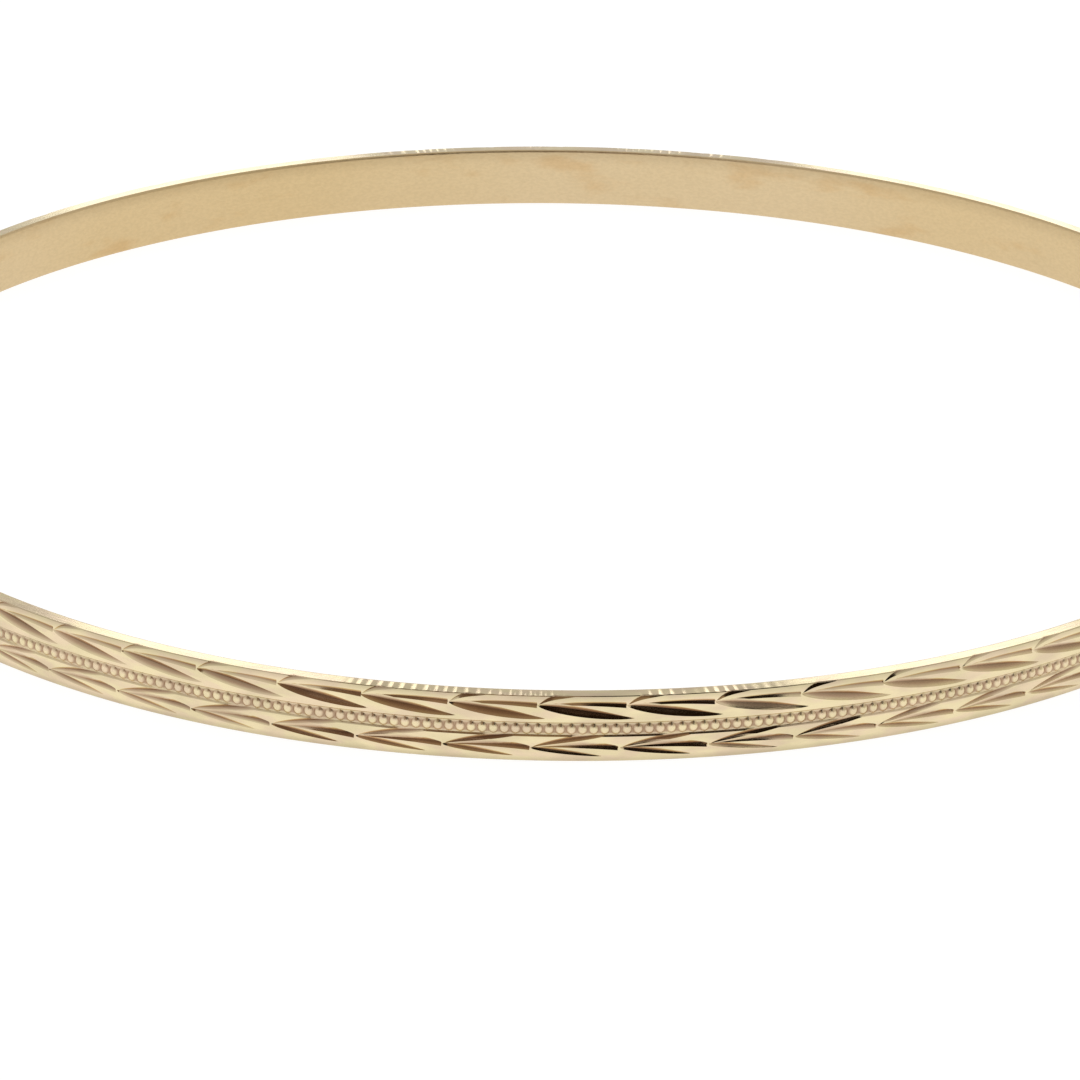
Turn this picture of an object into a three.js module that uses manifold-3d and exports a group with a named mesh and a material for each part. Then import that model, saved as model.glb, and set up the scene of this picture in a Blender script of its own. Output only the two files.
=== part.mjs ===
// Slip-on bangle bracelet. A strip of yellow gold with a low domed outer face is bent into a
// closed ring, and its two filed ends are joined by a thin film of gold solder.
// Millimetres, +Z up. The ring's axis is Z, its lower side face lies on z = 0, and the soldered
// joint is at +X.
import * as THREE from "three";
import { mergeVertices } from "three/addons/utils/BufferGeometryUtils.js";
import Module from "manifold-3d";

const wasm = await Module();
wasm.setup();

// Driving dimensions
const INNER_DIAMETER = 63.5; // the opening that the hand passes through
const BAND_WIDTH = 2.72; // along the ring's axis
const WALL = 0.64; // from the bore out to the rim, where the dome starts
const DOME_RISE = 0.18; // how far the outer face stands proud of its rims
const EDGE_BREAK = 0.12; // bevel that takes the sharpness off the bore's two edges
const SOLDER_GAP = 0.12; // between the strip's two ends

// Facets
const RING_STEPS = 144;
const DOME_STEPS = 10;

const boreRadius = INNER_DIAMETER / 2;
const rimRadius = boreRadius + WALL;
const crestRadius = rimRadius + DOME_RISE;

// The dome is a circular arc through both rims, in the plane of radius and height.
function domeArc() {
  const halfWidth = BAND_WIDTH / 2;
  const arcRadius = (halfWidth ** 2 + DOME_RISE ** 2) / (2 * DOME_RISE);
  const halfAngle = Math.asin(halfWidth / arcRadius);
  const points = [];
  for (let step = 0; step <= DOME_STEPS; step += 1) {
    const angle = halfAngle * ((2 * step) / DOME_STEPS - 1);
    const radius = crestRadius - arcRadius * (1 - Math.cos(angle));
    points.push(new THREE.Vector2(radius, halfWidth + arcRadius * Math.sin(angle)));
  }
  return points;
}

// Cross-section of the strip, counter-clockwise, as radius and height. It ends where it starts.
function stripSection() {
  const start = new THREE.Vector2(boreRadius + EDGE_BREAK, 0);
  return [
    start,
    ...domeArc(),
    new THREE.Vector2(boreRadius + EDGE_BREAK, BAND_WIDTH),
    new THREE.Vector2(boreRadius, BAND_WIDTH - EDGE_BREAK),
    new THREE.Vector2(boreRadius, EDGE_BREAK),
    start.clone(),
  ];
}

// A closed geometry as a solid that can be cut.
function solidOf(geometry) {
  const bare = geometry.clone();
  bare.deleteAttribute("normal");
  bare.deleteAttribute("uv");
  const welded = mergeVertices(bare);
  const mesh = new wasm.Mesh({
    numProp: 3,
    vertProperties: new Float32Array(welded.attributes.position.array),
    triVerts: new Uint32Array(welded.index.array),
  });
  return new wasm.Manifold(mesh);
}

// A solid as a flat-shaded geometry.
function geometryOf(solid) {
  const { vertProperties, triVerts } = solid.getMesh();
  const indexed = new THREE.BufferGeometry();
  indexed.setAttribute("position", new THREE.BufferAttribute(vertProperties, 3));
  indexed.setIndex(new THREE.BufferAttribute(triVerts, 1));
  const geometry = indexed.toNonIndexed();
  geometry.computeVertexNormals();
  return geometry;
}

// The whole ring, before it is parted into the strip and its solder.
function ringSolid() {
  const ring = new THREE.LatheGeometry(stripSection(), RING_STEPS);
  ring.rotateX(Math.PI / 2);
  return solidOf(ring);
}

// The parallel-sided space between the strip's two ends. It runs past the section on each side.
function jointSpace() {
  const margin = 1;
  const depth = crestRadius - boreRadius;
  const space = new THREE.BoxGeometry(depth + 2 * margin, SOLDER_GAP, BAND_WIDTH + 2 * margin);
  space.translate(boreRadius + depth / 2, 0, BAND_WIDTH / 2);
  return solidOf(space);
}

const ring = ringSolid();
const gap = jointSpace();

const yellowGold = new THREE.MeshStandardMaterial({
  color: new THREE.Color(0.87, 0.72, 0.47),
  roughness: 0.22,
  metalness: 1,
});
const solderGold = new THREE.MeshStandardMaterial({
  color: new THREE.Color(0.89, 0.79, 0.56),
  roughness: 0.34,
  metalness: 1,
});

const band = new THREE.Mesh(geometryOf(ring.subtract(gap)), yellowGold);
band.name = "band";

const solderJoint = new THREE.Mesh(geometryOf(ring.intersect(gap)), solderGold);
solderJoint.name = "solder_joint";

const bangle = new THREE.Group();
bangle.add(band, solderJoint);

export default bangle;
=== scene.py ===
"""A slip-on gold bangle whose outer face carries a row of cut leaves on each side of a bead line.

The band is drawn the way it is made: as a flat strip. Points lie on a sheet whose first direction
runs along the strip and whose second runs once round its section. The sheet is triangulated with
an edge along every cut, so each facet stays crisp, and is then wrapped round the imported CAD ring.
Sheet sizes are in millimetres. Everything in the scene is in metres.
"""
import math
from dataclasses import dataclass
from typing import Callable

import bmesh
import bpy
import numpy as np
from mathutils import Matrix, Vector
from mathutils.geometry import delaunay_2d_cdt


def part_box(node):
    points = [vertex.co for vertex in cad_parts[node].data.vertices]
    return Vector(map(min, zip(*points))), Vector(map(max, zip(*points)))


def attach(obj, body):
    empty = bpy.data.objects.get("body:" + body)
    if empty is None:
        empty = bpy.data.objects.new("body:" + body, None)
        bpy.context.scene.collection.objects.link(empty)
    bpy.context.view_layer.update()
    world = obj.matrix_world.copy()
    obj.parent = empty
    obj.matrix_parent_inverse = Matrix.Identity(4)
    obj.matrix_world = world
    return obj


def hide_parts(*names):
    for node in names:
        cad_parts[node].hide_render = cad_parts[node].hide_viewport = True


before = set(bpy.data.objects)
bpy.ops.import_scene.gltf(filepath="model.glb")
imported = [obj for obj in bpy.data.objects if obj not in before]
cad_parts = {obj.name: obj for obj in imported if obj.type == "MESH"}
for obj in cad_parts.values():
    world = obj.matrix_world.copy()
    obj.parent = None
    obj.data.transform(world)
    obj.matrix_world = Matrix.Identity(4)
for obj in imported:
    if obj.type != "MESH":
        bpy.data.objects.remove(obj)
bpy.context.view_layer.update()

MM = 0.001
SEED = 7
NEARLY_ZERO = 1e-6
SLACK = 1e-3  # allowed when places are compared
TOLERANCE = 1e-4  # points of the sheet that are closer than this are one point

# The engraved pattern
MOTIFS = 60
BEADS_PER_MOTIF = 8
FIRST_NODE = 4.8 / 360  # of the way round from the seam, counter-clockwise from above
BEAD_LINE_LIFT = 0.015  # of the bead line above mid-width
BEAD_ALONG, BEAD_ACROSS = 0.2, 0.23  # half sizes
BEAD_CREST = 0.02
CHANNEL_FLOOR = 0.075
CHANNEL_FOOT, CHANNEL_LIP = 0.235, 0.3  # from the bead line
LAND_RISE = 0.14  # of the uncut dome above its rims
NODE_SCATTER, DEPTH_SCATTER = 0.02, 0.05

# The plain section
RIM_ROUND = 0.035
EDGE_ROUND_STEPS, RIM_ROUND_STEPS = 4, 2
SIDE_RIPPLE = 0.013  # depth of the die's marks on the side faces, where they are strongest
# The marks lie in two stretches, a quarter turn off the seam. Each reaches this far both ways.
RIPPLE_REACH, RIPPLE_FADE = math.radians(16), math.radians(4)
RIPPLE_GROUPS = 3 * MOTIFS  # round the band
RIPPLE_CHOICE, FAINT_RIPPLE = 0.4, 0.05  # groups drawn below the first have the second's strength
RIPPLE_WANDER = 0.35  # in marks
RIPPLE_AT_EDGE = 0.35  # share of the depth left at a side face's inner edge
SEAM_FADE = 0.5  # length at each end where filing has worn the pattern off

# Spacing of the mesh
LINE_STEPS = 16  # along a cut
FINE_STEP = 3.39 / 40  # about 40 to a motif
COARSE_STEP = 0.5
LAND_STEP = 0.16
CLEARANCE = 0.045  # between loose land points and the drawn lines
END_WALL = 0.02  # length of the wall that closes a blunt cut
SCOOP_ROWS = (0.35, 0.7)  # extra lines across a scooped flank, from its outer edge to the valley
BEAD_RINGS = ((1, 12), (0.85, 12), (0.5, 8))  # size and number of points


# ---------------------------------------------------------------- section of the strip


@dataclass(frozen=True)
class Section:
    """The CAD band's section, in millimetres."""

    bore: float
    flat: float  # inner edge of the side faces
    rim: float
    height: float


def read_section():
    """Measures the CAD band. Its side faces are what lies in its top plane."""
    corners = np.array([v.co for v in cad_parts["band"].data.vertices]) / MM
    radii = np.hypot(corners[:, 0], corners[:, 1])
    height = float(corners[:, 2].max())
    on_top = radii[corners[:, 2] > height - SLACK]
    flat, rim = float(on_top.min()), float(on_top.max())
    return Section(float(radii.min()), flat, rim, height)


SECTION = read_section()
SEAM_GAP = (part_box("solder_joint")[1][1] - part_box("solder_joint")[0][1]) / MM
LENGTH = math.tau * SECTION.rim - SEAM_GAP
PITCH = LENGTH / MOTIFS
MID = SECTION.height / 2
BEAD_LINE = MID + BEAD_LINE_LIFT


def section_knots():
    """Once round the section from the middle of the bore, as radius and height."""
    s = SECTION
    edge = s.flat - s.bore
    turns = np.linspace(0, math.pi / 2, EDGE_ROUND_STEPS + 1)
    lower = [(s.flat - edge * math.cos(a), edge - edge * math.sin(a)) for a in turns]
    upper = [(r, s.height - z) for r, z in reversed(lower)]
    turns = np.linspace(0, math.pi / 2, RIM_ROUND_STEPS + 1)
    low_rim = [
        (s.rim - RIM_ROUND * (1 - math.sin(a)), RIM_ROUND * (1 - math.cos(a))) for a in turns
    ]
    high_rim = [(r, s.height - z) for r, z in reversed(low_rim)]
    return np.array([(s.bore, MID), *lower, *low_rim, *high_rim, *upper, (s.bore, MID)])


KNOTS = section_knots()
AROUND = np.concatenate([[0], np.cumsum(np.hypot(*np.diff(KNOTS, axis=0).T))])
SIDE_INNER, SIDE_OUTER = EDGE_ROUND_STEPS + 1, EDGE_ROUND_STEPS + 2  # knots of the lower side face
FIRST_RIM = EDGE_ROUND_STEPS + RIM_ROUND_STEPS + 2  # the knot where the outer face starts
OUTER_LOW, OUTER_HIGH = AROUND[FIRST_RIM], AROUND[FIRST_RIM + 1]


def around_of(height):
    """Where a height on the outer face lies on the sheet."""
    return OUTER_LOW + np.asarray(height) - RIM_ROUND


def height_of(around):
    """The height on the outer face nearest to a place on the sheet."""
    return np.clip(around, OUTER_LOW, OUTER_HIGH) - OUTER_LOW + RIM_ROUND


def dome_rise(height):
    """How far the uncut outer face stands out from its rims."""
    return LAND_RISE * (1 - ((height - MID) / (MID - RIM_ROUND)) ** 2)


# ---------------------------------------------------------------- the leaf cuts


def lens(q, rise, fall):
    """0 at both ends and 1 at its widest. rise and fall shape the two ends."""
    widest = rise / (rise + fall)
    return (q / widest) ** rise * ((1 - q) / (1 - widest)) ** fall


def bow(q):
    """0 at both ends and 1 half-way."""
    return 4 * q * (1 - q)


@dataclass(frozen=True)
class Cut:
    """A V-shaped cut. q runs from 0 to 1 along it. All lengths are in millimetres. The valley is
    measured from the bead line, and near and far are the widths of the two flanks. One flank is
    cut at the given angle, which sets the depth."""

    side: int  # 1 above the beads, -1 below
    start: float  # along the strip from the motif's node
    end: float
    valley: Callable
    near: Callable
    far: Callable
    angle: float
    cut_by_far: bool = False  # the angle is that of the far flank
    hollow: float = 1.0  # above 1, the near flank is scooped
    blunt: bool = False

    def depth(self, q):
        width = self.far(q) if self.cut_by_far else self.near(q)
        return math.tan(math.radians(self.angle)) * width


UPPER_NODE, LOWER_NODE = 0.97, 0.76
LOWER_SHIFT = -0.24  # of the lower motifs along the strip
CUTS = (
    # Above the beads: a broad cut that sweeps down, one that arches to the next node, and a short
    # one that climbs to the rim and runs out along it.
    Cut(
        1,
        0.02,
        3.7,
        lambda q: UPPER_NODE - (UPPER_NODE - 0.46) * q**1.1,
        lambda q: 0.24 * lens(q, 0.55, 0.75),
        lambda q: 0.17 * lens(q, 0.6, 1.2),
        24,
        hollow=1.1,
    ),
    Cut(
        1,
        0.35,
        3.38,
        lambda q: 1.0 + 0.06 * bow(q),
        lambda q: 0.135 * q**0.5,
        lambda q: 0.1 * q**0.5,
        26,
        blunt=True,
    ),
    Cut(
        1,
        0.03,
        1.7,
        lambda q: UPPER_NODE + 0.42 * (1 - (1 - q) ** 3.5),
        lambda q: 0.13 * lens(q, 0.8, 0.8),
        lambda q: 0.06 * lens(q, 0.9, 1.3),
        28,
    ),
    # Below the beads: the same three, narrower, with the outer one falling towards the rim.
    Cut(
        -1,
        0.1,
        3.1,
        lambda q: LOWER_NODE - 0.6 * q**0.72,
        lambda q: 0.15 * lens(q, 0.7, 0.3),
        lambda q: 0.125 * lens(q, 0.7, 0.5),
        37,
        cut_by_far=True,
    ),
    Cut(
        -1,
        0.3,
        3.36,
        lambda q: 0.735 - 0.05 * bow(q),
        lambda q: 0.03 + 0.19 * lens(q, 0.6, 0.8),
        lambda q: 0.155 * q**0.7,
        36,
        cut_by_far=True,
        blunt=True,
    ),
    Cut(
        -1,
        0.03,
        2.75,
        lambda q: LOWER_NODE + 0.38 * q,
        lambda q: 0.13 * lens(q, 0.7, 0.7),
        lambda q: 0.115 * lens(q, 0.35, 0.7),
        34,
        cut_by_far=True,
    ),
)


@dataclass(frozen=True)
class Stroke:
    """One cut of one motif, where it lies on the strip."""

    cut: Cut
    node: float  # along the strip
    strength: float

    def lines(self, q):
        """The near edge, the valley and the far edge, measured from the bead line."""
        valley = self.cut.valley(q)
        return valley - self.cut.near(q), valley, valley + self.cut.far(q)

    def along(self, q):
        return self.node + self.cut.start + (self.cut.end - self.cut.start) * q

    def q_of(self, along):
        return (along - self.node - self.cut.start) / (self.cut.end - self.cut.start)

    def height(self, distance):
        return BEAD_LINE + self.cut.side * distance


def strokes():
    """Every cut round the band, each motif a little different from the next."""
    chance = np.random.default_rng(SEED)
    first = FIRST_NODE * LENGTH
    found = []
    for motif in range(-1, MOTIFS):
        for side, shift in ((1, 0), (-1, LOWER_SHIFT)):
            node = first + shift + motif * PITCH + chance.normal(0, NODE_SCATTER)
            for cut in CUTS:
                if cut.side == side:
                    found.append(Stroke(cut, node, 1 + chance.normal(0, DEPTH_SCATTER)))
    return found


STROKES = strokes()


def cut_depth(along, height):
    """How deep the leaf cuts go at points of the outer face."""
    depth = np.zeros_like(along)
    order = np.argsort(along)
    ranked = along[order]
    for stroke in STROKES:
        first, last = np.searchsorted(ranked, [stroke.along(0) - SLACK, stroke.along(1) + SLACK])
        near_by = order[first:last]
        q = np.clip(stroke.q_of(along[near_by]), 0, 1)
        near, valley, far = stroke.lines(q)
        distance = (height[near_by] - BEAD_LINE) * stroke.cut.side
        up_near = np.clip((distance - near) / np.maximum(valley - near, NEARLY_ZERO), 0, 1)
        up_far = np.clip((far - distance) / np.maximum(far - valley, NEARLY_ZERO), 0, 1)
        share = np.minimum(up_near**stroke.cut.hollow, up_far)
        found = share * stroke.strength * stroke.cut.depth(q)
        depth[near_by] = np.maximum(depth[near_by], found)
    return depth


def channel_depth(height):
    """How deep the bead channel is."""
    ramp = (np.abs(height - BEAD_LINE) - CHANNEL_FOOT) / (CHANNEL_LIP - CHANNEL_FOOT)
    return CHANNEL_FLOOR * np.clip(1 - ramp, 0, 1)


def bead_rise(along, height):
    """Height of the beads above the channel's floor."""
    step = PITCH / BEADS_PER_MOTIF
    offset = (along / step) % 1 - 0.5
    reach = (offset * step / BEAD_ALONG) ** 2 + ((height - BEAD_LINE) / BEAD_ACROSS) ** 2
    return (BEAD_CREST + CHANNEL_FLOOR) * np.clip(1 - reach, 0, 1)


def smooth_step(x):
    x = np.clip(x, 0, 1)
    return x * x * (3 - 2 * x)


def seam_fade(along):
    """0 at the strip's two ends and 1 clear of them."""
    return smooth_step(np.minimum(along, LENGTH - along) / SEAM_FADE)


# ---------------------------------------------------------------- the flat sheet


class Sheet:
    """Points on the flat strip and the lines that join them."""

    def __init__(self):
        self.points = []
        self.edges = []
        self.creased = []

    def scatter(self, along, around):
        """Adds loose points."""
        self.points.extend(zip(along, around))

    def line(self, along, around, crease=False, closed=False):
        """Adds a chain of points. Shading breaks along a crease."""
        start = len(self.points)
        self.scatter(along, around)
        numbers = list(range(start, len(self.points)))
        pairs = list(zip(numbers, numbers[1:]))
        if closed:
            pairs.append((numbers[-1], numbers[0]))
        self.edges.extend(pairs)
        self.creased.extend([crease] * len(pairs))

    def level(self, around, step, crease=False):
        """Adds a line along the whole strip."""
        along = np.linspace(0, LENGTH, round(LENGTH / step) + 1)
        self.line(along, np.full_like(along, around), crease)

    def triangulate(self):
        """Points, triangles, and the point pairs of the creases."""
        flat = [Vector(p) for p in self.points]
        whole_sheet = 0
        points, edges, faces, _, sources, _ = delaunay_2d_cdt(
            flat, self.edges, [], whole_sheet, TOLERANCE, True
        )
        creases = [
            edge for edge, source in zip(edges, sources) if any(self.creased[i] for i in source)
        ]
        return np.array(points, float), np.array(faces), np.array(creases)


def draw_plain_faces(sheet):
    """The bore, the rounded edges and the side faces."""
    borders = (SIDE_INNER, SIDE_OUTER, FIRST_RIM)
    for number, around in enumerate(AROUND):
        mirrored = min(number, len(AROUND) - 1 - number)
        fine = mirrored > EDGE_ROUND_STEPS
        step = COARSE_STEP if mirrored == 0 else FINE_STEP if fine else 2 * FINE_STEP
        sheet.level(around, step, crease=mirrored in borders)
    bore_rows = 3
    for k in range(1, bore_rows):
        sheet.level(AROUND[1] * k / bore_rows, COARSE_STEP)
        sheet.level(AROUND[-1] - AROUND[1] * k / bore_rows, COARSE_STEP)
    half_way = (AROUND[SIDE_INNER] + AROUND[SIDE_OUTER]) / 2
    sheet.level(half_way, FINE_STEP)
    sheet.level(AROUND[-1] - half_way, FINE_STEP)


def draw_stroke(sheet, stroke):
    """The two edges and the valley of one cut, and the wall of a blunt end."""
    q = (1 - np.cos(np.linspace(0, math.pi, LINE_STEPS + 1))) / 2
    along = stroke.along(q)
    inside = (along > END_WALL) & (along < LENGTH - END_WALL)
    if inside.sum() < 2:
        return
    near, valley, far = stroke.lines(q)
    rows = [(near, True), (valley, True), (far, True)]
    if stroke.cut.hollow > 1:
        rows += [(near + (valley - near) * share, False) for share in SCOOP_ROWS]
    for distance, crease in rows:
        clear_of_beads = np.maximum(distance, CHANNEL_FOOT)
        around = np.clip(around_of(stroke.height(clear_of_beads)), OUTER_LOW, OUTER_HIGH)
        sheet.line(along[inside], around[inside], crease)
    if stroke.cut.blunt and inside[-1]:
        around = around_of(stroke.height(np.array([near[-1], valley[-1], far[-1]])))
        sheet.line(np.full(3, along[-1]), around, crease=True)
        sheet.line(np.full(3, along[-1] + END_WALL), around, crease=True)


def draw_beads(sheet):
    """The channel's lips and feet, and rings of points for each bead."""
    step = PITCH / BEADS_PER_MOTIF
    for distance in (CHANNEL_FOOT, CHANNEL_LIP):
        for side in (-1, 1):
            sheet.level(around_of(BEAD_LINE + side * distance), step / 4, crease=True)
    middle = around_of(BEAD_LINE)
    for number in range(MOTIFS * BEADS_PER_MOTIF):
        centre = (number + 0.5) * step
        sheet.scatter([centre], [middle])
        for share, count in BEAD_RINGS:
            turn = np.arange(count) * math.tau / count
            along = centre + share * BEAD_ALONG * np.cos(turn)
            around = middle + share * BEAD_ACROSS * np.sin(turn)
            sheet.line(along, around, crease=share == 1, closed=True)


def near_a_cut(along, height):
    """True for points in a cut or too close to one of its lines."""
    found = np.zeros(along.shape, bool)
    for stroke in STROKES:
        margin = CLEARANCE / (stroke.cut.end - stroke.cut.start)
        q = stroke.q_of(along)
        close = np.flatnonzero((q > -margin) & (q < 1 + margin))
        near, _, far = stroke.lines(np.clip(q[close], 0, 1))
        distance = (height[close] - BEAD_LINE) * stroke.cut.side
        inside = (distance > near - CLEARANCE) & (distance < far + CLEARANCE)
        found[close[inside]] = True
    return found


def draw_land(sheet):
    """Staggered loose points over the uncut metal, so that it follows the dome."""
    rows = np.arange(OUTER_LOW + LAND_STEP / 2, OUTER_HIGH - LAND_STEP / 3, LAND_STEP)
    columns = np.arange(LAND_STEP, LENGTH - LAND_STEP / 2, LAND_STEP)
    along, around = np.meshgrid(columns, rows)
    along = along + (np.arange(len(rows)) % 2)[:, None] * LAND_STEP / 2
    along, around = along.ravel(), around.ravel()
    height = height_of(around)
    clear = (np.abs(height - BEAD_LINE) > CHANNEL_LIP + CLEARANCE) & ~near_a_cut(along, height)
    sheet.scatter(along[clear], around[clear])


# ---------------------------------------------------------------- wrapping the sheet


def side_share(from_edge):
    """Share of the marks' full depth on a side face, from its distance round the section."""
    inner, outer = AROUND[SIDE_INNER], AROUND[SIDE_OUTER]
    across = (from_edge - inner) / (outer - inner)
    on_face = (across > -SLACK) & (across < 1 + SLACK)
    return np.where(on_face, RIPPLE_AT_EDGE + (1 - RIPPLE_AT_EDGE) * across, 0)


def side_ripple(along, around):
    """The shallow marks that the rolling die leaves across both side faces, in uneven groups."""
    step = PITCH / BEADS_PER_MOTIF
    chance = np.random.default_rng(SEED + 1)
    knots = np.linspace(0, LENGTH, RIPPLE_GROUPS)
    chosen = chance.uniform(0, 1, len(knots))
    groups = np.where(chosen > RIPPLE_CHOICE, chosen, FAINT_RIPPLE)
    strength = np.interp(along, knots, groups)
    wander = np.interp(along, knots, chance.normal(0, RIPPLE_WANDER, len(knots)))
    wave = np.cos(math.tau * (along / step + wander))
    off_centre = np.arcsin(np.abs(np.cos(along / SECTION.rim)))
    strength = strength * smooth_step((RIPPLE_REACH - off_centre) / RIPPLE_FADE)
    sides = side_share(AROUND[-1] - around) - side_share(around)
    return SIDE_RIPPLE * strength * (wave - 1) * sides


def wrap(along, around):
    """Where points of the sheet lie on the band, in metres, and how deep they are cut."""
    height = height_of(around)
    outside = np.abs(around - np.clip(around, OUTER_LOW, OUTER_HIGH))
    carried = np.clip(1 - outside / (3 * RIM_ROUND), 0, 1)  # cuts run out over the rounded rims
    channel = channel_depth(height) * (outside == 0)
    surface = -np.maximum(cut_depth(along, height) * carried, channel)
    bead = bead_rise(along, height)
    surface = np.where(bead > 0, np.maximum(surface, bead - CHANNEL_FLOOR), surface)
    surface = surface * seam_fade(along)
    radius = np.interp(around, AROUND, KNOTS[:, 0]) + dome_rise(height) + surface
    rise = np.interp(around, AROUND, KNOTS[:, 1]) + side_ripple(along, around)
    angle = (along + SEAM_GAP / 2) / SECTION.rim
    places = np.column_stack([radius * np.cos(angle), radius * np.sin(angle), rise]) * MM
    return places, radius, rise, -surface


def end_loop(points, along):
    """The sheet's points at one end, in order round the section. The last one meets the first."""
    ends = np.flatnonzero(np.abs(points[:, 0] - along) < TOLERANCE)
    return ends[np.argsort(points[ends, 1])][:-1]


def close_sheet(points, faces):
    """Joins the sheet's two long edges, and returns the faces and what each point became."""
    low = np.flatnonzero(points[:, 1] < TOLERANCE)
    high = np.flatnonzero(points[:, 1] > AROUND[-1] - TOLERANCE)
    low, high = low[np.argsort(points[low, 0])], high[np.argsort(points[high, 0])]
    became = np.arange(len(points))
    became[high] = low
    return became[faces], became


def shaded_mesh(name, places, faces, creases):
    """A mesh that shades smoothly except along its creases."""
    mesh = bpy.data.meshes.new(name)
    mesh.from_pydata(places, [], faces)
    mesh.polygons.foreach_set("use_smooth", np.ones(len(mesh.polygons), bool))
    pairs = np.empty(2 * len(mesh.edges), np.int32)
    mesh.edges.foreach_get("vertices", pairs)
    scale = len(places)
    keys = np.sort(pairs.reshape(-1, 2), axis=1) @ (scale, 1)
    wanted = np.sort(creases, axis=1) @ (scale, 1)
    sharp = mesh.attributes.new("sharp_edge", "BOOLEAN", "EDGE")
    sharp.data.foreach_set("value", np.isin(keys, wanted))
    return mesh


def store(mesh, name, kind, values):
    """Writes one value for each point, for the materials to read."""
    layer = mesh.attributes.new(name, kind, "POINT")
    field = "vector" if kind == "FLOAT_VECTOR" else "value"
    layer.data.foreach_set(field, np.asarray(values, np.float32).ravel())


def drop_loose(mesh):
    """Removes the points that no face uses."""
    shape = bmesh.new()
    shape.from_mesh(mesh)
    bmesh.ops.delete(shape, geom=[v for v in shape.verts if not v.link_faces], context="VERTS")
    shape.to_mesh(mesh)
    shape.free()


def make_band(outer_gold, bore_gold):
    """The engraved strip, bent into its ring, with an end face on each side of the seam."""
    sheet = Sheet()
    draw_plain_faces(sheet)
    for stroke in STROKES:
        draw_stroke(sheet, stroke)
    draw_beads(sheet)
    draw_land(sheet)
    points, faces, creases = sheet.triangulate()
    places, radius, rise, depth = wrap(*points.T)
    caps = [end_loop(points, 0).tolist(), end_loop(points, LENGTH)[::-1].tolist()]
    faces, became = close_sheet(points, faces)
    caps = [became[cap].tolist() for cap in caps]
    mesh = shaded_mesh("engraved_band", places, [*faces.tolist(), *caps], became[creases])
    store(mesh, "strip", "FLOAT_VECTOR", np.column_stack([points[:, 0], rise, radius]))
    store(mesh, "cut_depth", "FLOAT", depth)
    drop_loose(mesh)
    mesh.materials.append(outer_gold)
    mesh.materials.append(bore_gold)
    middles = np.array([p.center for p in mesh.polygons]) / MM
    in_bore = np.hypot(middles[:, 0], middles[:, 1]) < SECTION.flat - SLACK
    mesh.polygons.foreach_set("material_index", in_bore.astype(np.int32))
    return link(bpy.data.objects.new("engraved_band", mesh))


def link(thing):
    bpy.context.scene.collection.objects.link(thing)
    return thing


def make_joint(solder):
    """The film of solder that fills the seam, filed to the strip's section and a little hollow."""
    steps, hollow, dome_points, crease = 4, 0.006, 25, math.radians(30)
    heights = np.linspace(RIM_ROUND, SECTION.height - RIM_ROUND, dome_points)
    dome = np.column_stack([SECTION.rim + dome_rise(heights), heights])
    outline = np.vstack([KNOTS[:FIRST_RIM], dome, KNOTS[FIRST_RIM + 2 : -1]])
    count = len(outline)
    places, faces = [], []
    for step in range(steps + 1):
        share = step / steps
        angle = (share - 0.5) * SEAM_GAP / SECTION.rim
        on_face = outline[:, 0] > SECTION.rim - NEARLY_ZERO
        radius = outline[:, 0] - hollow * bow(share) * on_face
        for r, z in zip(radius, outline[:, 1]):
            places.append((r * math.cos(angle) * MM, r * math.sin(angle) * MM, z * MM))
    for step in range(steps):
        for k in range(count):
            here, beyond = step * count, (step + 1) * count
            after = (k + 1) % count
            faces.append((here + k, beyond + k, beyond + after, here + after))
    faces.append(tuple(range(count)))
    faces.append(tuple(range(steps * count, (steps + 1) * count))[::-1])
    mesh = bpy.data.meshes.new("solder_seam")
    mesh.from_pydata(places, [], faces)
    mesh.set_sharp_from_angle(angle=crease)
    mesh.materials.append(solder)
    return link(bpy.data.objects.new("solder_seam", mesh))


# ---------------------------------------------------------------- materials

POLISHED, POLISHED_ROSE = (0.84, 0.72, 0.45), (0.81, 0.655, 0.45)
RECESS_DULL_AND_SHADE, RECESS_DEPTH = (0.52, 0.36, 0.235), 0.07  # unpolished metal where the polishing mop does not reach, and painted shade and reflection in the cuts
CUT_SHADE_TONE, CUT_SHADE_TOP, CUT_SHADE_BOTTOM = 0.66, 0.05, 0.12  # painted shade in the deepest cuts, between two depths
PATCH_TONE = 0.88
RIM_PAINTED_SHADE, RIM_BAND = 0.77, 0.3  # painted shade on the outer face close to its rims, standing in for the darker floor they reflect, and how wide
CHANNEL_CLEAN_AND_UNSHADED = 0.85  # how far the channel beside the beads is spared the unpolished tint and the painted shade
BEAD_WEAR, SIDE_WEAR = 0.2, 0.03  # roughness added on the beads and on the side faces
STAIN = (0.95, 0.88, 0.8)  # faint marks in the bore
SPECKLE = (0.965, 1.02)
BORE_TOP_TONE = 0.9
SATIN, SATIN_PALE = (0.68, 0.515, 0.28), (0.7, 0.55, 0.335)
SOLDER, SOLDER_DULL = (0.82, 0.7, 0.5), (0.7, 0.58, 0.4)
OUTER_ROUGHNESS, BORE_ROUGHNESS, SOLDER_ROUGHNESS = (0.07, 0.2), (0.32, 0.44), (0.2, 0.34)
HAIR_LINES, GRAIN, PITS = 0.0012, 0.007, 0.003  # depths
# Noise on the strip: its stretch along it, up it and through it, its scale and its detail
ROSY_NOISE = (0.8, 2.5, 2.5), 1, 3
PATCH_NOISE = (0.5, 1.5, 1.5), 1, 3
HAIR_NOISE = (0.6, 14, 14), 1.5, 4
CLOUD_NOISE = (0.035, 0.05, 0), 1, 2
STAIN_NOISE = (0.25, 0.7, 0), 1, 4
SPECKLE_NOISE = (5, 9, 9), 1, 3
GRAIN_NOISE = (3, 11, 11), 2, 5
PIT_SCALE, PIT_DETAIL = 9000, 3


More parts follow.
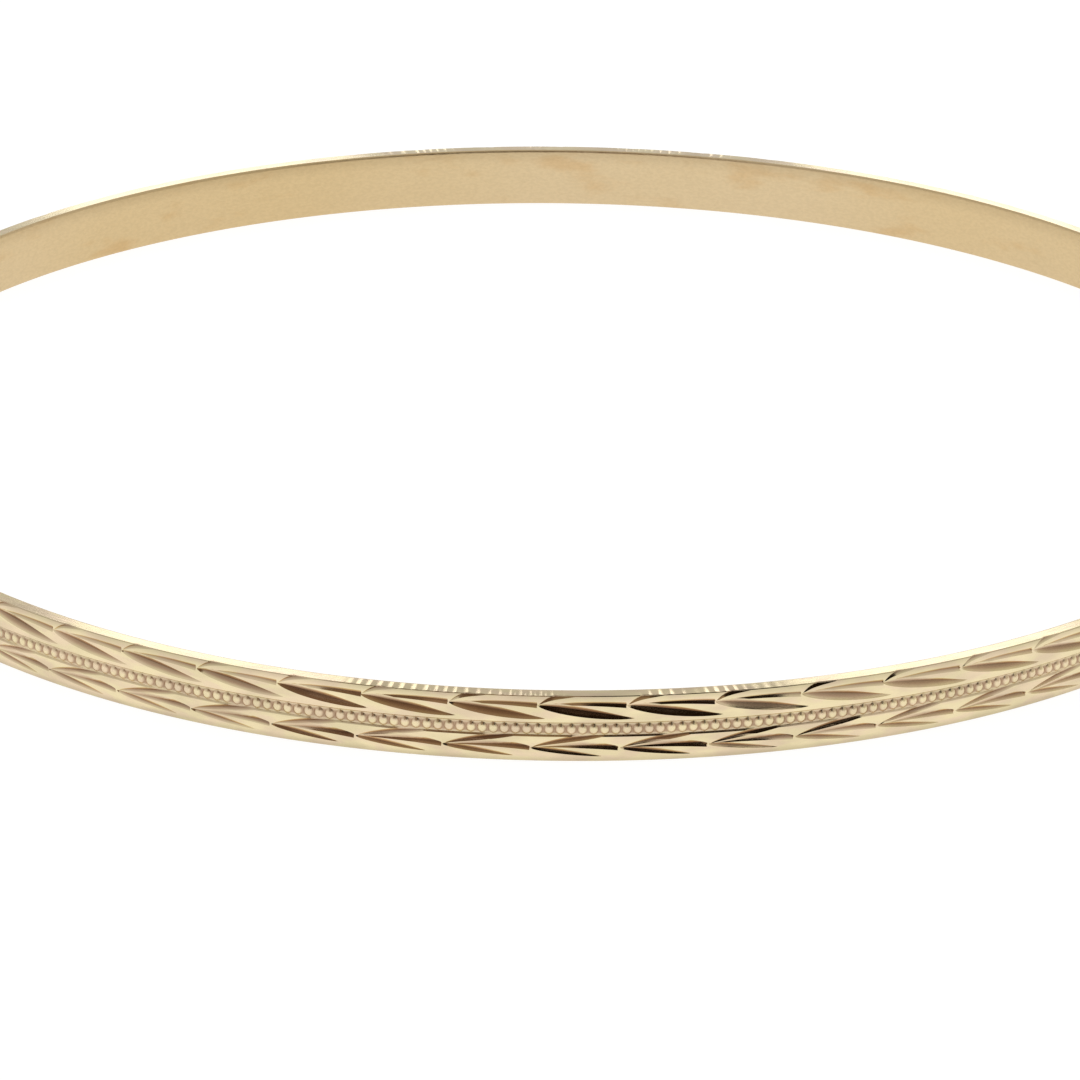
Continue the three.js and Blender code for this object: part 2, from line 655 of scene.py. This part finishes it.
def add(tree, kind, inputs=(), **settings):
    """A new node. inputs gives a value or another node's output for some of its sockets."""
    made = tree.nodes.new("ShaderNode" + kind)
    for name, value in settings.items():
        setattr(made, name, value)
    for socket, value in dict(inputs).items():
        if isinstance(value, bpy.types.NodeSocket):
            tree.links.new(value, made.inputs[socket])
        else:
            made.inputs[socket].default_value = value
    return made


def stored(tree, name):
    return add(tree, "Attribute", attribute_name=name)


def calc(tree, operation, *values):
    """The result of arithmetic on numbers or nodes' outputs."""
    return add(tree, "Math", dict(enumerate(values)), operation=operation).outputs[0]


def strip_height(tree):
    strip = stored(tree, "strip").outputs["Vector"]
    return add(tree, "SeparateXYZ", {0: strip}).outputs["Y"]


def stretched_noise(tree, stretch, scale, detail):
    """Noise laid out on the flat strip. stretch is along it, up it, and through it."""
    strip = stored(tree, "strip").outputs["Vector"]
    place = add(tree, "VectorMath", {0: strip, 1: stretch}, operation="MULTIPLY")
    noise = add(tree, "TexNoise", {"Vector": place.outputs[0], "Scale": scale, "Detail": detail})
    return noise.outputs["Fac"]


def remap(tree, value, low, high, to_low, to_high):
    """A smooth step from to_low to to_high as value goes from low to high."""
    ends = {"From Min": low, "From Max": high, "To Min": to_low, "To Max": to_high}
    made = add(tree, "MapRange", {"Value": value, **ends}, interpolation_type="SMOOTHSTEP")
    return made.outputs["Result"]


def blend(tree, share, first, second, mode="MIX"):
    """A colour between two others. Each may be a colour or a node's output."""
    first, second = [(*c, 1) if isinstance(c, tuple) else c for c in (first, second)]
    inputs = {0: share, 6: first, 7: second}
    return add(tree, "Mix", inputs, data_type="RGBA", blend_type=mode).outputs[2]


def metal(name):
    """A new metallic material, its node tree and its shader."""
    made = bpy.data.materials.new(name)
    made.use_nodes = True
    shader = made.node_tree.nodes["Principled BSDF"]
    shader.inputs["Metallic"].default_value = 1
    return made, made.node_tree, shader


def relief(tree, shader, height, depth):
    """Fine surface marks, depth millimetres deep."""
    bump = add(tree, "Bump", {"Height": height, "Distance": depth * MM, "Strength": 1})
    tree.links.new(bump.outputs["Normal"], shader.inputs["Normal"])


def polished_gold():
    """Bright outside. Duller in the cuts, and browner there from unpolished metal and painted
    shade; painted shade also darkens the deepest cuts and the outer face near both rims. With hair
    lines from polishing.
    """
    made, tree, shader = metal("polished_gold")
    off_beads = calc(tree, "ABSOLUTE", calc(tree, "SUBTRACT", strip_height(tree), BEAD_LINE))
    in_channel = remap(tree, off_beads, CHANNEL_FOOT, CHANNEL_LIP, 1, 0)
    beside_beads = remap(tree, off_beads, BEAD_ACROSS / 2, BEAD_ACROSS, 0, CHANNEL_CLEAN_AND_UNSHADED)
    # the channel beside the beads is spared the unpolished tint and the painted shade
    clean_and_unshaded = calc(tree, "MULTIPLY", in_channel, beside_beads)
    depth = stored(tree, "cut_depth").outputs["Fac"]
    # browner in the cuts: partly unpolished metal, partly painted shade and reflection
    dull_and_shaded = remap(tree, depth, 0.0, RECESS_DEPTH, 0, 1)
    dull_and_shaded = calc(tree, "MULTIPLY", dull_and_shaded, calc(tree, "SUBTRACT", 1, clean_and_unshaded))
    rosy = remap(tree, stretched_noise(tree, *ROSY_NOISE), 0.4, 0.62, 0, 1)
    colour = blend(tree, dull_and_shaded, blend(tree, rosy, POLISHED, POLISHED_ROSE), RECESS_DULL_AND_SHADE)
    # painted shade darkening the deepest cuts
    cut_shade = remap(tree, depth, CUT_SHADE_TOP, CUT_SHADE_BOTTOM, 1, CUT_SHADE_TONE)
    patches = stretched_noise(tree, *PATCH_NOISE)
    for tone in (
        calc(tree, "MAXIMUM", cut_shade, clean_and_unshaded),
        remap(tree, patches, 0.35, 0.65, PATCH_TONE, 1),
        # painted shade towards both rims of the outer face
        remap(tree, off_beads, MID - RIM_BAND, MID, 1, RIM_PAINTED_SHADE),
    ):
        colour = blend(tree, 1, colour, tone, "MULTIPLY")
    tree.links.new(colour, shader.inputs["Base Color"])
    rough = remap(tree, calc(tree, "MULTIPLY", dull_and_shaded, patches), 0, 0.6, *OUTER_ROUGHNESS)
    rough = calc(tree, "ADD", rough, calc(tree, "MULTIPLY", in_channel, BEAD_WEAR))
    rim_start, side_face = MID - 0.06, MID - 0.03
    on_side = remap(tree, off_beads, rim_start, side_face, 0, SIDE_WEAR)
    tree.links.new(calc(tree, "ADD", rough, on_side), shader.inputs["Roughness"])
    relief(tree, shader, stretched_noise(tree, *HAIR_NOISE), HAIR_LINES)
    return made


def satin_gold():
    """The bore: matt from a fine wheel, faintly stained and darker along its top edge."""
    made, tree, shader = metal("satin_gold")
    clouds = stretched_noise(tree, *CLOUD_NOISE)
    colour = blend(tree, remap(tree, clouds, 0.35, 0.65, 0, 1), SATIN, SATIN_PALE)
    stained = remap(tree, stretched_noise(tree, *STAIN_NOISE), 0.54, 0.72, 0, 1)
    top, bottom = SECTION.height * 0.97, SECTION.height * 0.7
    for tone in (
        blend(tree, stained, (1, 1, 1), STAIN),
        remap(tree, stretched_noise(tree, *SPECKLE_NOISE), 0.35, 0.65, *SPECKLE),
        remap(tree, strip_height(tree), bottom, top, 1, BORE_TOP_TONE),
    ):
        colour = blend(tree, 1, colour, tone, "MULTIPLY")
    tree.links.new(colour, shader.inputs["Base Color"])
    grain = stretched_noise(tree, *GRAIN_NOISE)
    tree.links.new(remap(tree, grain, 0.3, 0.7, *BORE_ROUGHNESS), shader.inputs["Roughness"])
    relief(tree, shader, grain, GRAIN)
    return made


def solder():
    """A paler, slightly pitted gold alloy."""
    made, tree, shader = metal("gold_solder")
    place = add(tree, "TexCoord").outputs["Object"]
    inputs = {"Vector": place, "Scale": PIT_SCALE, "Detail": PIT_DETAIL}
    noise = add(tree, "TexNoise", inputs).outputs["Fac"]
    colour = blend(tree, remap(tree, noise, 0.35, 0.65, 0, 1), SOLDER, SOLDER_DULL)
    tree.links.new(colour, shader.inputs["Base Color"])
    tree.links.new(remap(tree, noise, 0.35, 0.65, *SOLDER_ROUGHNESS), shader.inputs["Roughness"])
    relief(tree, shader, noise, PITS)
    return made


# ---------------------------------------------------------------- stage

CAMERA_DISTANCE = 7.6555  # in rim radii
CAMERA_RISE = 0.3738  # above the horizon, in radians
CAMERA_TURN = (-0.00309, 0.02141, -0.0125)  # yaw, pitch and roll away from the ring's centre
CAMERA_LENS = 191.26
FLOOR_GLOW, FLOOR_GREY, FLOOR_GAP = 0.9, 0.26, 1e-5
SKY = ((0.0, 1.0), (0.17, 0.98), (0.33, 0.8), (0.6, 0.76), (0.9, 0.7))  # sine of elevation, grey
WARMTH = (1, 0.97, 0.93)
CARDS = (  # name, azimuth, elevation, width, height, colour
    ("black_card", -70.5, 47, 0.277, 0.62, (0.016, 0.009, 0.005)),
    ("brown_card", -97, 47, 0.195, 0.62, (0.33, 0.235, 0.16)),
    ("dark_brown_card", -115.5, 47, 0.132, 0.62, (0.19, 0.12, 0.08)),
    ("grey_card", -30, 14, 0.5, 0.24, (0.7, 0.66, 0.58)),
)
CARD_DISTANCE = 0.5
STRIPS = (("left_strip", 95.2), ("right_strip", 84.2))  # name, azimuth
STRIP_ELEVATION, STRIP_DISTANCE = 22, 0.6
STRIP_SIZE, STRIP_WATTS = (0.044, 0.095), 0.019


def from_centre(azimuth, elevation, distance):
    """A point seen from the ring's centre. Azimuth is in degrees from +X towards +Y."""
    a, e = math.radians(azimuth), math.radians(elevation)
    return Vector((math.cos(a) * math.cos(e), math.sin(a) * math.cos(e), math.sin(e))) * distance


def facing_centre(place):
    """The pose of something at place that shines or faces towards the ring."""
    turn = (-place).to_track_quat("-Z", "Y")
    return Matrix.Translation(place) @ turn.to_matrix().to_4x4()


def make_camera():
    """Looks at the ring from the front and a little above, close enough to crop its sides."""
    rise, turn = CAMERA_RISE, CAMERA_TURN
    back = Vector((0, -math.cos(rise), math.sin(rise)))
    axes = Matrix(((1, 0, 0), (0, math.sin(rise), math.cos(rise)), back))
    yaw = Matrix.Rotation(turn[0], 3, "Y")
    pitch = Matrix.Rotation(turn[1], 3, "X")
    roll = Matrix.Rotation(turn[2], 3, "Z")
    aimed = (roll @ pitch @ yaw @ axes).transposed()
    camera = bpy.data.cameras.new("camera")
    camera.lens = CAMERA_LENS
    camera.sensor_width = 36
    camera.clip_start = 0.01
    camera.clip_end = 20
    centre = Vector((0, 0, MID * MM))
    place = centre + back * CAMERA_DISTANCE * SECTION.rim * MM
    thing = link(bpy.data.objects.new("camera", camera))
    thing.matrix_world = Matrix.Translation(place) @ aimed.to_4x4()
    bpy.context.scene.camera = thing


def make_sheet(name, size, colour, glow=0):
    """A flat rectangle for the stage, facing +Z."""
    x, y = size[0] / 2, size[1] / 2
    mesh = bpy.data.meshes.new(name)
    mesh.from_pydata([(-x, -y, 0), (x, -y, 0), (x, y, 0), (-x, y, 0)], [], [(0, 1, 2, 3)])
    made = bpy.data.materials.new(name)
    made.use_nodes = True
    shader = made.node_tree.nodes["Principled BSDF"]
    shader.inputs["Base Color"].default_value = (*colour, 1)
    shader.inputs["Roughness"].default_value = 0.9
    shader.inputs["Specular IOR Level"].default_value = 0
    shader.inputs["Emission Color"].default_value = (1, 1, 1, 1)
    shader.inputs["Emission Strength"].default_value = glow
    mesh.materials.append(made)
    sheet = link(bpy.data.objects.new(name, mesh))
    return sheet


def make_world():
    """Soft light from all round: white at the horizon, greyer and warmer higher up."""
    world = bpy.data.worlds.new("studio")
    bpy.context.scene.world = world
    world.use_nodes = True
    tree = world.node_tree
    where = add(tree, "TexCoord").outputs["Generated"]
    up = add(tree, "SeparateXYZ", {0: where}).outputs["Z"]
    ramp = add(tree, "ValToRGB", {"Fac": up})
    stops = ramp.color_ramp.elements
    stops[0].position, stops[1].position = SKY[0][0], SKY[-1][0]
    for position, _ in SKY[1:-1]:
        stops.new(position)
    for stop, (position, grey) in zip(stops, SKY):
        warm = min(1, position / SKY[2][0])
        stop.color = (*(grey * (1 - warm + warm * tint) for tint in WARMTH), 1)
    tree.links.new(ramp.outputs["Color"], tree.nodes["Background"].inputs["Color"])


def make_lamp(name, place, size, watts):
    lamp = bpy.data.lights.new(name, "AREA")
    lamp.shape = "RECTANGLE"
    lamp.size, lamp.size_y = size
    lamp.energy = watts
    thing = link(bpy.data.objects.new(name, lamp))
    thing.matrix_world = facing_centre(place)


def make_stage():
    floor = make_sheet("floor", (6, 6), [FLOOR_GREY] * 3, FLOOR_GLOW)
    floor.location.z = -FLOOR_GAP
    for name, azimuth, elevation, width, height, colour in CARDS:
        card = make_sheet(name, (width, height), colour)
        card.matrix_world = facing_centre(from_centre(azimuth, elevation, CARD_DISTANCE))
    for name, azimuth in STRIPS:
        place = from_centre(azimuth, STRIP_ELEVATION, STRIP_DISTANCE)
        make_lamp(name, place, STRIP_SIZE, STRIP_WATTS)


# ---------------------------------------------------------------- the scene

make_camera()
make_world()
make_stage()

band = make_band(polished_gold(), satin_gold())
joint = make_joint(solder())
for piece, node, slot in ((band, "band", "yellow_gold"), (joint, "solder_joint", "gold_solder")):
    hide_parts(node)
    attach(piece, "root")

bpy.context.scene.view_settings.view_transform = "Standard"
